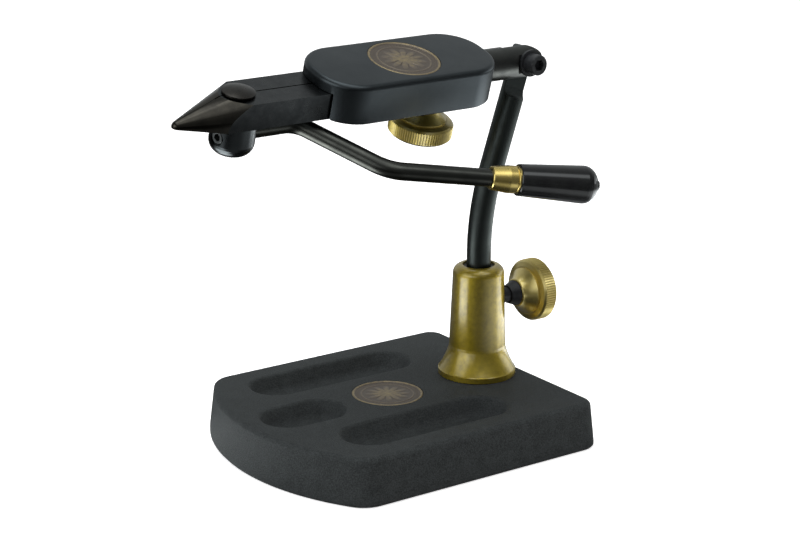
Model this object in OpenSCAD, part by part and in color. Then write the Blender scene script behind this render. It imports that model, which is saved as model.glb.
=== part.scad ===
// Fly tying vise: a heavy pocketed base, a turned brass pillar, a bent stem
// and a head whose spring-closed jaws are opened by a cam on a long lever.
// Millimetres, +Z up. The origin is on the pillar's axis, on the bench.
// The jaws point along -X, and the lever lies on the -Y side.

/* [Base] */
// Pillar axis to the base's straight back edge
base_back = 19.7; // [18:0.1:30]
// Pillar axis to the middle of the curved front edge
base_front = 108.9; // [102:0.1:130]
// Width of the base at the bench
base_width = 109.2; // [100:0.1:130]
// Bench to the casting's top face
base_top = 18.7; // [17.5:0.1:24]
// Radius of the curved front edge
front_radius = 89; // [82:0.5:110]
// Corner radius between the front edge and the sides
front_corner = 12; // [8:0.5:16]
// Corner radius at the back
back_corner = 8; // [6:0.5:12]
// How far the sides lean in from the bench to the top
base_draft = 2; // [0.5:0.1:3]
// Rounding of the top edge
base_edge = 2; // [1:0.1:3]
// Thickness of the non-slip pad under the casting
pad_thick = 1.5; // [1:0.1:2.5]
// How far the pad stays inside the casting's outline
pad_inset = 3; // [2:0.1:6]

/* [Pockets] */
// Width of every hook pocket
pocket_width = 22; // [18:0.5:24]
// Depth of the hook pockets
pocket_depth = 7; // [6:0.1:9]
// Length of the two side pockets
long_pocket = 74; // [60:1:78]
// Front edge of the base to a side pocket, along X
long_pocket_setback = 22.9; // [20:0.1:26]
// Side of the base to a side pocket, at the bench
long_pocket_margin = 12.1; // [9:0.1:15]
// Length of the middle pocket
short_pocket = 34.7; // [26:0.1:38]
// Front edge of the base to the middle pocket
short_pocket_setback = 9.2; // [7:0.1:12]
// Rounding of the pocket rims
pocket_lip = 1.8; // [1:0.1:2.2]
// Rounding between a pocket's wall and its floor
pocket_fillet = 5; // [3:0.1:5.5]

/* [Medallions] */
// Diameter of both medallions
medal_d = 27.7; // [24:0.1:29]
// Thickness of both medallions
medal_thick = 1.5; // [1.2:0.1:1.8]
// Depth of the seat each medallion lies in
medal_seat = 1.4; // [1:0.1:1.4]
// Width of the medallion's raised rim
medal_rim = 1.1; // [0.8:0.1:2]

/* [Pillar] */
// Radius of the pillar's foot
foot_r = 15.35; // [14:0.1:17]
// Height of the straight band at the foot
foot_band = 2.6; // [2:0.1:4]
// Height above the casting where the flare ends
flare_top = 12.3; // [10:0.1:15]
// Radius just above the flare
waist_r = 11.15; // [10:0.05:13]
// Radius under the rounded mouth
neck_r = 10.1; // [9.5:0.05:11]
// Height of the pillar above the casting
pillar_height = 44.8; // [42:0.1:50]
// Rounding of the pillar's mouth
mouth_round = 3.4; // [2:0.1:3.6]
// Depth of the stem's hole above the pillar's threaded end
stem_hole_floor = 10; // [9:0.1:12]
// Radius of the bolt that holds the pillar down
pillar_bolt_r = 4; // [3:0.5:4]
// Length of thread that the bolt has in the pillar
pillar_bolt_grip = 8; // [6:0.1:8.5]
// Outer radius of the dark ring in the pillar's mouth
sleeve_r = 6.3; // [5.8:0.05:6.5]
// Length of that ring
sleeve_length = 6.5; // [5:0.1:7]
// How far that ring sits below the rounded mouth
sleeve_sink = 0.9; // [0.3:0.1:1.5]

/* [Stem] */
// Diameter of the stem
stem_d = 9.525; // [9:0.025:10]
// Height of the stem's lower end above the casting, at rest
stem_end_height = 16.2; // [15.8:0.1:18]
// Height of the start of the bend above the casting
bend_height = 50.4; // [50:0.1:56]
// Radius of the bend, at the stem's centre line
bend_r = 100; // [60:1:120]
// Lean of the upper stem from upright, in degrees
stem_lean = 18.3; // [14:0.1:22]
// Height of the tilt joint above the bench
pivot_height = 142.3; // [136:0.1:150]
// Stem's lap, measured from the tilt joint down to its shoulder
lap_length = 10.5; // [10:0.1:14]
// Radius of the cutter that left the shoulder
lap_cutter_r = 4; // [3:0.1:7]
// Radius of the rounded top end, about the tilt joint
stem_top_r = 6; // [5:0.1:6.3]
// Lap faces meet this far to the lever's side of the stem's middle
lap_offset = 0.4; // [0:0.1:1]

/* [Screw through the pillar] */
// Height of the clamping screw above the casting
clamp_height = 29.7; // [27:0.1:31]
// Radius of the clamping screw and of the head's locking screw
screw_r = 3; // [2.5:0.1:3.5]
// Pillar axis to the knob's inner face
clamp_knob_x = 18.4; // [17:0.1:21]
// Length of the conical collar in front of the knob
collar_length = 3.9; // [2:0.1:5]
// Radius of the collar against the knob
collar_r = 5; // [4.2:0.1:5.6]

/* [Knobs] */
// Radius over the knurled rim
knob_r = 12.4; // [11:0.1:14]
// Thickness of the rim
knob_rim = 6.2; // [5:0.1:8]
// Height of the conical hub
knob_hub = 6; // [4:0.1:6.4]
// Radius of the hub at its small end
hub_small_r = 5.6; // [5.2:0.1:6.5]
// Radius of the hub at the rim
hub_big_r = 9.2; // [8:0.1:10]
// Number of knurls round a rim
knurl_count = 80; // [60:1:90]
// Depth of the knurls
knurl_depth = 0.3; // [0.2:0.05:0.5]

/* [Head shaft] */
// Diameter of the shaft between the head and the tilt joint
shaft_d = 12.7; // [12:0.1:14]
// Tilt joint to the head body's back face
shaft_reach = 19.7; // [19:0.1:26]
// Radius of the turned-down end inside the head
journal_r = 4.5; // [4:0.1:5]
// Length of that end
journal_length = 31; // [29:0.1:33]
// Depth of the groove that the locking screw runs in
groove_depth = 0.8; // [0.5:0.1:1.2]
// Tilt joint to the step of the lap
shaft_lap = 10; // [9.5:0.1:12]
// Thickness of the lap tongue
tongue_thick = 4.6; // [4:0.1:5]
// Radius of the tilt screw
tilt_screw_r = 2.4; // [2:0.1:2.5]
// Radius of the tilt screw's head
cap_r = 3.96; // [3.5:0.02:4.5]
// Height of the tilt screw's head
cap_height = 4.83; // [4:0.01:5]
// Width across flats of its socket
socket_width = 3.97; // [3:0.01:4.2]
// Radius of the washer under it
washer_r = 5.2; // [4.8:0.1:6]
// Thickness of that washer
washer_thick = 1; // [0.6:0.1:1.4]

/* [Head] */
// Roll of the head from level, in degrees
head_roll = 15.8; // [10:0.1:20]
// Length of the head body
body_length = 77.3; // [74:0.1:82]
// Width of the head body
body_width = 34.4; // [32:0.1:38]
// Shaft axis to the top face
body_over = 8; // [7.8:0.1:10]
// Shaft axis to the underside
body_under = 7.5; // [7.4:0.1:9]
// Corner radius seen from above
body_corner = 15; // [8:0.1:15.8]
// Rounding of the top edge
body_edge = 2; // [1:0.1:3]
// Shaft axis down to the lock knob's cone, under the knob's straight neck
lock_knob_reach = 12.9; // [11:0.1:16]
// Back face to the middle of the medallion
medal_back = 37.6; // [35:0.1:42]
// Back face to the locking screw
lock_back = 23.8; // [22:0.1:25.5]

/* [Jaws] */
// Width of one jaw
jaw_width = 9.5; // [9:0.1:10]
// Shaft axis to the jaws' top face
jaw_over = 2.9; // [2.5:0.1:3.2]
// Height of the jaws
jaw_height = 10.2; // [9.8:0.1:10.4]
// Head body's front face to the cam's axis
cam_reach = 31.3; // [28:0.1:34]
// Cam's axis to the jaws' tips
nose_reach = 25.6; // [24:0.1:28]
// Shaft axis down to the middle of the ground nose
nose_drop = 6.9; // [6.5:0.1:7.2]
// Half angle of the ground nose, in degrees
nose_angle = 25; // [24:0.1:29]
// Radius of the blunt tip
tip_r = 2.2; // [1.6:0.1:2.6]
// Front face to the jaws' hinge pins
pin_back = 7.1; // [6.5:0.1:9]
// Radius of the hinge pins
pin_r = 2; // [1.5:0.1:2.2]
// Middle of the head to a hinge pin
pin_offset = 5; // [4.8:0.1:5.4]
// Hinge pins to the jaws' back ends
jaw_tail = 17; // [15:0.1:18]
// Middle of the head to the relieved inside of a tail
tail_gap = 1.2; // [0.9:0.1:1.4]

/* [Jaw spring] */
// Hinge pins to the spring that spreads the tails
spring_back = 11.5; // [10:0.1:12.5]
// Outer radius of the spring
spring_r = 2.8; // [2.4:0.1:3]
// Wire diameter of the spring
spring_wire = 0.8; // [0.6:0.05:0.9]
// Number of curls
spring_curls = 5; // [4:1:6]
// Depth of the spring's seat in each tail
spring_seat = 3; // [2.5:0.1:3.5]

/* [Cam and lever] */
// Cam's size along the closed jaws
cam_long = 9; // [8:0.1:9.6]
// Cam's size across the closed jaws
cam_short = 6; // [5.6:0.1:6.4]
// Rounding of the cam's corners
cam_corner = 1; // [0.8:0.1:1.4]
// Radius of the domed head on top of the cam
dome_r = 6.2; // [5.8:0.1:7]
// Height of the dome's straight edge
dome_edge_height = 0.9; // [0.6:0.1:1.4]
// Height of the dome above that edge
dome_height = 1.1; // [0.8:0.1:2]
// Radius of the hub under the jaws
hub_r = 8.4; // [7.8:0.1:9.5]
// Height of the hub
hub_height = 12.9; // [12:0.1:14]
// Rounding of the hub's lower edge
hub_round = 5; // [3:0.1:6]
// Shaft axis down to the lever rod in the hub
rod_drop = 12.6; // [12.2:0.1:13]
// Diameter of the lever rod
rod_d = 6.6; // [6:0.1:7]
// Hub axis to the first bend's corner
rod_first = 26.4; // [24:0.1:30]
// First bend, in degrees
first_bend = 60.4; // [50:0.1:66]
// Corner of the first bend to the corner of the second
rod_second = 39.5; // [36:0.1:44]
// Second bend, back towards the head's length, in degrees
second_bend = 40.4; // [34:0.1:44]
// Corner of the second bend to the ferrule
rod_third = 39.1; // [36:0.1:44]
// Radius of the first bend
first_bend_r = 9; // [7:0.5:12]
// Radius of the second bend
second_bend_r = 16; // [12:0.5:20]
// Tilt of the lever's plane below the head's own plane, in degrees
lever_tilt = 8; // [4:0.1:12]
// Length of the brass ferrule
ferrule_length = 10.6; // [9:0.1:14]
// Radius of the ferrule at the rod's end
ferrule_small_r = 4.3; // [4:0.05:4.6]
// Radius of the ferrule at the grip
ferrule_big_r = 5.15; // [4.8:0.05:5.6]
// Length of the grip
grip_length = 32.3; // [28:0.1:36]
// Radius of the grip at the ferrule
grip_small_r = 5.9; // [5.7:0.05:6.2]
// Radius of the grip at its domed end
grip_big_r = 7.1; // [6.6:0.05:7.6]
// Radius of the screw that clamps the hub
hub_screw_r = 3; // [2.4:0.1:3.3]
// Turn of that screw from the head's length, in degrees
hub_screw_turn = 14; // [4:0.5:18]

/* [Fits] */
// Radial clearance of shafts, pins and screws in their holes
run_fit = 0.05; // [0.02:0.01:0.09]
// Gap between faces that slide past each other
slide_gap = 0.2; // [0.15:0.01:0.3]
// Gap between a jaw's side and the wall of the head's slot
slot_gap = 0.9; // [0.6:0.1:1.1]
// Gap between the two closed jaws
jaw_gap = 0.2; // [0.1:0.01:0.3]
// Gap between the cam and each jaw
cam_gap = 0.06; // [0.05:0.01:0.09]

/* [Hidden] */
$fn = 64;

// Overrun of every cut past the face that it opens
over = 1;
// Height of the casting's lower chamfer
foot_chamfer = 0.8;
// How much fuller a rod is where it bends
bend_swell = 0.06;
// Sides of a bent rod
rod_sides = 40;
// Degrees of bend between two sections of a bent rod
bend_step = 5;
// How much steeper a pocket's wall starts than upright
pocket_lean = 1;
// Steps in a quarter turn of a rounded outline
quarter_steps = 7;
// Steps along the curved front edge
front_steps = 16;
// Rows in a rounded edge
edge_rows = 4;
// Shape of the pillar's flare, 1 being straight
flare_power = 1.5;
// Rows of the pillar's flare
flare_rows = 9;
// Share of the way from the pillar's foot to the middle pocket where the medallion lies
medal_place_share = 0.565;
// Small bevel on turned and milled edges
bevel = 0.6;
// Size of the pillar bolt's head, for each part of its thread's radius
bolt_head_share = 1.7;
bolt_height_share = 1.6;
bolt_socket_share = 0.86;
// Width of a set screw's socket, for each part of the screw's radius
set_socket_share = 0.5;
// Depth of a socket in its screw's head
socket_depth_share = 0.5;
// Depth of the hinge pins in the head's roof
pin_depth_share = 0.7;
// Length of the rod inside the grip
rod_in_grip_share = 0.7;
// How far a medallion's field lies under its rim, and the radius of its middle
medal_field_share = 0.4;
medal_middle_share = 0.42;
// Where the ferrule stops widening
ferrule_taper_share = 0.62;
// Height of the grip's dome and radius of its nub, for each part of the grip's radius
grip_dome_share = 0.8;
grip_nub_share = 0.3;

stem_r = stem_d / 2;
shaft_r = shaft_d / 2;
rod_r = rod_d / 2;
medal_r = medal_d / 2;
casting_bottom = pad_thick;
pillar_top = base_top + pillar_height;
clamp_z = base_top + clamp_height;
stem_bottom = base_top + stem_end_height;
bend_start = base_top + bend_height;
bend_top = bend_start + bend_r * sin(stem_lean);
pivot_x = bend_r * (1 - cos(stem_lean)) + tan(stem_lean) * (pivot_height - bend_top);
sleeve_top = pillar_top - sleeve_sink;
lap_y = -lap_offset;
tongue_y = lap_y - tongue_thick;

// Places along the head, measured from the tilt joint
body_back = -shaft_reach;
body_front = body_back - body_length;
lock_x = body_back - lock_back;
head_medal_x = body_back - medal_back;
pin_x = body_front + pin_back;
cam_x = body_front - cam_reach;
tip_x = cam_x - nose_reach;
jaw_back = pin_x + jaw_tail;
jaw_bottom = jaw_over - jaw_height;
hub_top = jaw_bottom - slide_gap;
hub_bottom = hub_top - hub_height;
knob_face = -body_under - slide_gap;
short_pocket_back = base_front - short_pocket_setback - short_pocket;
base_medal_x = -foot_r - (short_pocket_back - foot_r) * medal_place_share;

echo(pivot_x = pivot_x, cam_x = pivot_x + cam_x, pin_x = pivot_x + pin_x, clamp_z = clamp_z);
echo(lock_x = pivot_x + lock_x, jaw_bottom = jaw_bottom);

bolt_head_r = pillar_bolt_r * bolt_head_share;
bolt_head_height = pillar_bolt_r * bolt_height_share;
bolt_seat = casting_bottom + bolt_head_height + bevel;
pin_hole = (body_over - jaw_over - slide_gap) * pin_depth_share;
shank_r = cam_short / 2;
shank_bottom = hub_bottom + hub_round / 2;

// Points of an arc, from one angle to another
function arc(centre, r, from, to, steps) =
    [for (i = [0 : steps]) let (a = from + (to - from) * i / steps)
        centre + r * [cos(a), sin(a)]];

// Outline raised to a height
function at_height(outline, z) = [for (p = outline) [p.x, p.y, z]];

// Solid through a stack of outlines that have the same number of points
module loft(rings) {
    n = len(rings[0]);
    last = (len(rings) - 1) * n;
    polyhedron(
        points = [for (ring = rings) each ring],
        faces = concat(
            [[for (i = [0 : n - 1]) i]],
            [[for (i = [n - 1 : -1 : 0]) last + i]],
            [for (k = [0 : len(rings) - 2], i = [0 : n - 1])
                let (a = k * n + i, b = k * n + (i + 1) % n) each [[a, a + n, b + n], [a, b + n, b]]]
        ),
        convexity = 4
    );
}

// Sections of a round rod along a flat path, each station being a point and a heading
function rod_rings(stations, r) = [for (s = stations)
    [for (k = [0 : rod_sides - 1]) let (a = 360 * k / rod_sides)
        [s[0].x - r * cos(a) * sin(s[1]), s[0].y + r * cos(a) * cos(s[1]), r * sin(a)]]];

// Stations round a bend to the left, or to the right where its angle is negative
function bend_stations(from, heading, r, angle) = let (steps = ceil(abs(angle) / bend_step))
    [for (i = [0 : steps]) let (h = heading + angle * i / steps)
        [from + sign(angle) * r * [sin(h) - sin(heading), cos(heading) - cos(h)], h]];

// Places its children in the head, which is measured from the tilt joint
module in_head() {
    translate([pivot_x, 0, pivot_height]) rotate([head_roll, 0, 0]) children();
}

// Lays its children's Z axis along X
module along_x() {
    rotate([0, 90, 0]) children();
}

// Points its children's Z axis along -Y
module towards_lever_side() {
    rotate([90, 0, 0]) children();
}

// Base casting: the outline has a curved front edge that blends into straight sides.
front_centre = front_radius - base_front;
front_corner_y = base_width / 2 - front_corner;
front_corner_x = front_centre - sqrt(pow(front_radius - front_corner, 2) - pow(front_corner_y, 2));
front_spread = atan2(front_corner_y, front_centre - front_corner_x);
back_corner_x = base_back - back_corner;
back_corner_y = base_width / 2 - back_corner;

function base_outline(inset) = concat(
    arc([front_centre, 0], front_radius - inset, 180 - front_spread, 180 + front_spread, front_steps),
    arc([front_corner_x, -front_corner_y], front_corner - inset, 180 + front_spread, 270, quarter_steps),
    arc([back_corner_x, -back_corner_y], back_corner - inset, 270, 360, quarter_steps),
    arc([back_corner_x, back_corner_y], back_corner - inset, 0, 90, quarter_steps),
    arc([front_corner_x, front_corner_y], front_corner - inset, 90, 180 - front_spread, quarter_steps)
);

function base_level(z) = base_draft * (z - casting_bottom) / (base_top - casting_bottom);

// Rounded-end slot outline, centred on the origin and lying along X
function slot_outline(length, width, inset) = let (half = (length - width) / 2) concat(
    arc([half, 0], width / 2 - inset, -90, 90, 2 * quarter_steps),
    arc([-half, 0], width / 2 - inset, 90, 270, 2 * quarter_steps)
);

// Scooped pocket with a rounded rim and a rounded floor, cut down from the top face
module pocket(length) {
    floor_z = base_top - pocket_depth;
    loft(concat(
        [for (i = [0 : edge_rows]) let (a = 90 * i / edge_rows) at_height(
            slot_outline(length, pocket_width, pocket_lean + pocket_fillet * (1 - sin(a))),
            floor_z + pocket_fillet * (1 - cos(a)))],
        [for (i = [0 : edge_rows]) let (a = 90 * i / edge_rows) at_height(
            slot_outline(length, pocket_width, -pocket_lip * (1 - cos(a))),
            base_top - pocket_lip * (1 - sin(a)))],
        [at_height(slot_outline(length, pocket_width, -pocket_lip), base_top + over)]
    ));
}

module base_casting() {
    color([0.16, 0.17, 0.18]) difference() {
        loft(concat(
            [at_height(base_outline(foot_chamfer), casting_bottom)],
            [for (i = [0 : edge_rows]) let (
                a = 90 * i / edge_rows,
                z = i == 0 ? casting_bottom + foot_chamfer : base_top - base_edge * (1 - sin(a)))
                at_height(base_outline(base_level(z) + (i == 0 ? 0 : base_edge * (1 - cos(a)))), z)]
        ));
        for (side = [-1, 1])
            translate([long_pocket_setback + long_pocket / 2 - base_front,
                side * (base_width / 2 - long_pocket_margin - pocket_width / 2), 0])
                pocket(long_pocket);
        translate([short_pocket_setback + short_pocket / 2 - base_front, 0, 0]) pocket(short_pocket);
        translate([base_medal_x, 0, base_top - medal_seat]) cylinder(r = medal_r + run_fit, h = medal_seat + over);
        translate([0, 0, casting_bottom - over]) cylinder(r = pillar_bolt_r + bevel / 2, h = base_top + over);
        translate([0, 0, casting_bottom - over])
            cylinder(r = bolt_head_r + bevel, h = bolt_seat - casting_bottom + over);
    }
}

module base_pad() {
    color([0.07, 0.07, 0.07])
        loft([at_height(base_outline(pad_inset), 0), at_height(base_outline(pad_inset), pad_thick)]);
}

// Struck disc with a raised rim and plain rings, its back face at the origin
module medallion() {
    ring = medal_rim / 2;
    field = medal_thick - medal_rim * medal_field_share;
    middle = medal_r * medal_middle_share;
    color([0.50, 0.41, 0.26]) rotate_extrude() polygon([
        [0, 0], [medal_r, 0], [medal_r, medal_thick - ring / 2], [medal_r - ring / 2, medal_thick],
        [medal_r - medal_rim, medal_thick], [medal_r - medal_rim - ring / 2, field],
        [middle + 2 * ring, field], [middle + 1.5 * ring, field + ring / 2],
        [middle + ring / 2, field + ring / 2], [middle, field], [0, field]
    ]);
}

module base_medallion() {
    translate([base_medal_x, 0, base_top - medal_seat]) medallion();
}

// Pillar: turned profile with a flared foot, a slow taper and a rounded mouth
module pillar() {
    mouth_r = neck_r - mouth_round;
    outside = concat(
        [[0, 0], [foot_r - bevel / 2, 0], [foot_r, bevel / 2]],
        [[foot_r, foot_band - bevel / 2], [foot_r - bevel / 2, foot_band]],
        [for (i = [1 : flare_rows]) let (s = 1 - i / flare_rows)
            [waist_r + (foot_r - bevel / 2 - waist_r) * pow(s, flare_power), flare_top - (flare_top - foot_band) * s]],
        arc([mouth_r, pillar_height - mouth_round], mouth_round, 0, 90, 2 * edge_rows),
        [[0, pillar_height]]
    );
    color([0.66, 0.56, 0.33]) difference() {
        translate([0, 0, base_top]) rotate_extrude() polygon(outside);
        translate([0, 0, base_top + stem_hole_floor]) cylinder(r = stem_r + run_fit, h = pillar_height);
        translate([0, 0, sleeve_top - sleeve_length - run_fit])
            cylinder(r = sleeve_r + run_fit, h = pillar_height);
        translate([0, 0, base_top - over]) cylinder(r = pillar_bolt_r, h = pillar_bolt_grip + 2 * over);
        translate([0, 0, clamp_z]) along_x() cylinder(r = screw_r + run_fit, h = foot_r);
    }
}

module pillar_bolt() {
    color([0.12, 0.12, 0.13]) difference() {
        union() {
            translate([0, 0, bolt_seat - bolt_head_height]) cylinder(r = bolt_head_r, h = bolt_head_height);
            translate([0, 0, bolt_seat - bevel])
                cylinder(r = pillar_bolt_r, h = base_top + pillar_bolt_grip - bolt_seat + bevel);
        }
        translate([0, 0, bolt_seat - bolt_head_height - over]) cylinder(
            r = pillar_bolt_r * bolt_socket_share, h = bolt_head_height * socket_depth_share + over, $fn = 6);
    }
}

module stem_sleeve() {
    color([0.06, 0.06, 0.07]) translate([0, 0, sleeve_top - sleeve_length]) difference() {
        cylinder(r = sleeve_r, h = sleeve_length);
        translate([0, 0, -over]) cylinder(r = stem_r + run_fit, h = sleeve_length + 2 * over);
    }
}

// Places its children on the stem's leaning part, at the tilt joint, Z up the stem
module on_lean() {
    translate([pivot_x, 0, pivot_height]) rotate([0, stem_lean, 0]) children();
}

// Stem: straight in the pillar, bent once, and half lapped at the tilt joint
module stem() {
    color([0.13, 0.14, 0.14]) difference() {
        union() {
            translate([0, 0, stem_bottom]) cylinder(r1 = stem_r - bevel, r2 = stem_r, h = bevel);
            translate([0, 0, stem_bottom + bevel]) cylinder(r = stem_r, h = bend_start - stem_bottom);
            rotate([-90, -90, 0]) loft(rod_rings(concat(
                bend_stations([bend_start, 0], 0, bend_r, stem_lean),
                [[[pivot_height, pivot_x], stem_lean]]
            ), stem_r + bend_swell));
            on_lean() intersection() {
                translate([0, 0, -bevel]) cylinder(r = stem_r, h = 2 * stem_top_r);
                translate([0, stem_d, 0]) towards_lever_side() cylinder(r = stem_top_r, h = 2 * stem_d);
            }
        }
        on_lean() {
            translate([-stem_d, lap_y - 2 * stem_d, -lap_length]) cube([2 * stem_d, 2 * stem_d, 2 * lap_length]);
            translate([-stem_d, lap_y - lap_cutter_r, -lap_length]) along_x() cylinder(r = lap_cutter_r, h = 2 * stem_d);
            translate([0, stem_d, 0]) towards_lever_side() cylinder(r = tilt_screw_r + run_fit, h = 2 * stem_d);
        }
    }
}

module clamp_screw() {
    tip = stem_r + run_fit;
    color([0.05, 0.05, 0.06]) translate([0, 0, clamp_z]) along_x() {
        translate([0, 0, tip]) cylinder(r = screw_r, h = clamp_knob_x + knob_hub + knob_rim / 2 - tip);
        translate([0, 0, clamp_knob_x - collar_length])
            cylinder(r1 = screw_r + bevel, r2 = collar_r, h = collar_length - bevel / 2);
        translate([0, 0, clamp_knob_x - bevel / 2]) cylinder(r = collar_r, h = bevel / 2);
    }
}

// Turned knob with a flared hub at the origin and a straight-knurled rim beyond it
module knob() {
    core_r = knob_r - knurl_depth;
    length = knob_hub + knob_rim;
    chamfer = bevel + knurl_depth + over;
    pitch = 360 / knurl_count;
    color([0.72, 0.62, 0.32]) difference() {
        intersection() {
            rotate_extrude() polygon(concat(
                [[0, 0], [hub_small_r - bevel / 2, 0]],
                [for (i = [0 : flare_rows]) let (s = i / flare_rows) [
                    hub_small_r + (hub_big_r - hub_small_r) * pow(s, flare_power),
                    bevel / 2 + (knob_hub - 2.5 * bevel) * s]],
                [[hub_big_r, knob_hub - bevel], [hub_big_r + bevel, knob_hub - bevel]],
                [[core_r - bevel, knob_hub], [core_r - bevel + chamfer, knob_hub + chamfer]],
                [[core_r - bevel + chamfer, length - chamfer], [core_r - bevel, length]],
                [[core_r - 3 * bevel, length], [core_r - 4 * bevel, length - bevel], [0, length - bevel]]
            ));
            translate([0, 0, -over]) linear_extrude(length + 2 * over)
                polygon([for (i = [0 : knurl_count - 1]) each [
                    knob_r * [cos(pitch * i), sin(pitch * i)],
                    core_r * [cos(pitch * (i + 1 / 2)), sin(pitch * (i + 1 / 2))]
                ]]);
        }
        translate([0, 0, -over]) cylinder(r = screw_r, h = knob_hub + knob_rim / 2 + over);
    }
}

module clamp_knob() {
    translate([clamp_knob_x, 0, clamp_z]) along_x() knob();
}

// Head shaft: half lapped on the stem, with a grooved journal inside the head
module head_shaft() {
    neck = shaft_reach - slide_gap;
    journal_end = neck + journal_length;
    groove_half = screw_r + 2 * slide_gap;
    groove_at = -lock_x;
    spot_r = shaft_r + run_fit;
    color([0.15, 0.155, 0.16]) translate([pivot_x, 0, pivot_height]) difference() {
        union() {
            translate([-neck, 0, 0]) along_x() cylinder(r = shaft_r, h = neck);
            translate([-journal_end, 0, 0]) along_x() rotate_extrude() polygon([
                [0, 0], [journal_r - bevel, 0], [journal_r, bevel],
                [journal_r, journal_end - groove_at - groove_half],
                [journal_r - groove_depth, journal_end - groove_at - groove_half],
                [journal_r - groove_depth, journal_end - groove_at + groove_half],
                [journal_r, journal_end - groove_at + groove_half],
                [journal_r, journal_length + bevel], [0, journal_length + bevel]
            ]);
            intersection() {
                along_x() cylinder(r = shaft_r, h = shaft_d);
                translate([0, shaft_d, 0]) towards_lever_side() cylinder(r = shaft_r, h = 2 * shaft_d);
            }
        }
        translate([-shaft_lap, lap_y - slide_gap, -shaft_d]) cube([2 * shaft_d, shaft_d, 2 * shaft_d]);
        translate([0, tongue_y - slide_gap, 0]) towards_lever_side() cylinder(r = spot_r, h = shaft_d);
        translate([0, shaft_d, 0]) towards_lever_side() cylinder(r = tilt_screw_r + 2 * run_fit, h = 2 * shaft_d);
    }
}

module tilt_washer() {
    color([0.10, 0.10, 0.11]) translate([pivot_x, tongue_y - slide_gap, pivot_height]) towards_lever_side()
        difference() {
            cylinder(r = washer_r, h = washer_thick);
            translate([0, 0, -over]) cylinder(r = tilt_screw_r + run_fit, h = washer_thick + 2 * over);
        }
}

module tilt_screw() {
    seat = -tongue_y + slide_gap + washer_thick;
    shank = seat + stem_r - bevel;
    color([0.09, 0.09, 0.10]) translate([pivot_x, 0, pivot_height]) towards_lever_side() difference() {
        union() {
            translate([0, 0, seat]) cylinder(r = cap_r, h = cap_height - bevel / 2);
            translate([0, 0, seat + cap_height - bevel / 2])
                cylinder(r1 = cap_r, r2 = cap_r - bevel / 2, h = bevel / 2);
            translate([0, 0, seat - shank]) cylinder(r = tilt_screw_r, h = shank + bevel);
        }
        translate([0, 0, seat + cap_height * (1 - socket_depth_share)])
            cylinder(r = socket_width / sqrt(3), h = cap_height, $fn = 6);
    }
}

// Head body seen from above: a long block with round corners
function body_outline(inset) = let (
    back = body_back - body_corner,
    front = body_front + body_corner,
    side = body_width / 2 - body_corner,
    r = body_corner - inset
) concat(
    arc([back, side], r, 0, 90, quarter_steps), arc([front, side], r, 90, 180, quarter_steps),
    arc([front, -side], r, 180, 270, quarter_steps), arc([back, -side], r, 270, 360, quarter_steps)
);

// Head body: milled block, slotted from below for the jaws and bored from behind
module head_body() {
    slot_roof = jaw_over + slide_gap;
    slot_half = jaw_width + slot_gap;
    slot_back = jaw_back + 2 * slide_gap;
    color([0.12, 0.125, 0.135]) in_head() difference() {
        loft(concat(
            [at_height(body_outline(bevel), -body_under), at_height(body_outline(0), bevel - body_under)],
            [for (i = [0 : edge_rows]) let (a = 90 * i / edge_rows) at_height(
                body_outline(body_edge * (1 - cos(a))), body_over - body_edge * (1 - sin(a)))]
        ));
        translate([body_front - over, -slot_half, -body_under - over])
            cube([slot_back - body_front + over, 2 * slot_half, slot_roof + body_under + over]);
        translate([body_back - journal_length - slide_gap, 0, 0]) along_x()
            cylinder(r = journal_r + run_fit, h = journal_length + slide_gap + over);
        translate([lock_x, 0, -body_under - over]) cylinder(r = screw_r + run_fit, h = body_under + over);
        translate([head_medal_x, 0, body_over - medal_seat])
            cylinder(r = medal_r + run_fit, h = medal_seat + over);
        for (side = [-1, 1])
            translate([pin_x, side * pin_offset, slot_roof - over]) cylinder(r = pin_r, h = pin_hole + over);
    }
}

module head_medallion() {
    in_head() translate([head_medal_x, 0, body_over - medal_seat]) medallion();
}

module jaw_pins() {
    bottom = jaw_bottom + slide_gap;
    color([0.35, 0.35, 0.37]) in_head() for (side = [-1, 1])
        translate([pin_x, side * pin_offset, bottom])
            cylinder(r = pin_r, h = jaw_over + slide_gap + pin_hole - bottom);
}

module lock_screw() {
    tip = journal_r - groove_depth + run_fit;
    color([0.10, 0.10, 0.11]) in_head() translate([lock_x, 0, 0]) rotate([180, 0, 0])
        translate([0, 0, tip]) cylinder(r = screw_r, h = lock_knob_reach + knob_hub + knob_rim / 2 - tip);
}

module lock_knob() {
    neck_r = hub_small_r - bevel / 2;
    neck_top = body_under + slide_gap;
    in_head() translate([lock_x, 0, 0]) rotate([180, 0, 0]) {
        color([0.72, 0.62, 0.32]) translate([0, 0, neck_top]) difference() {
            cylinder(r = neck_r, h = lock_knob_reach - neck_top);
            translate([0, 0, -over]) cylinder(r = screw_r, h = lock_knob_reach);
        }
        translate([0, 0, lock_knob_reach]) knob();
    }
}

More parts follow.
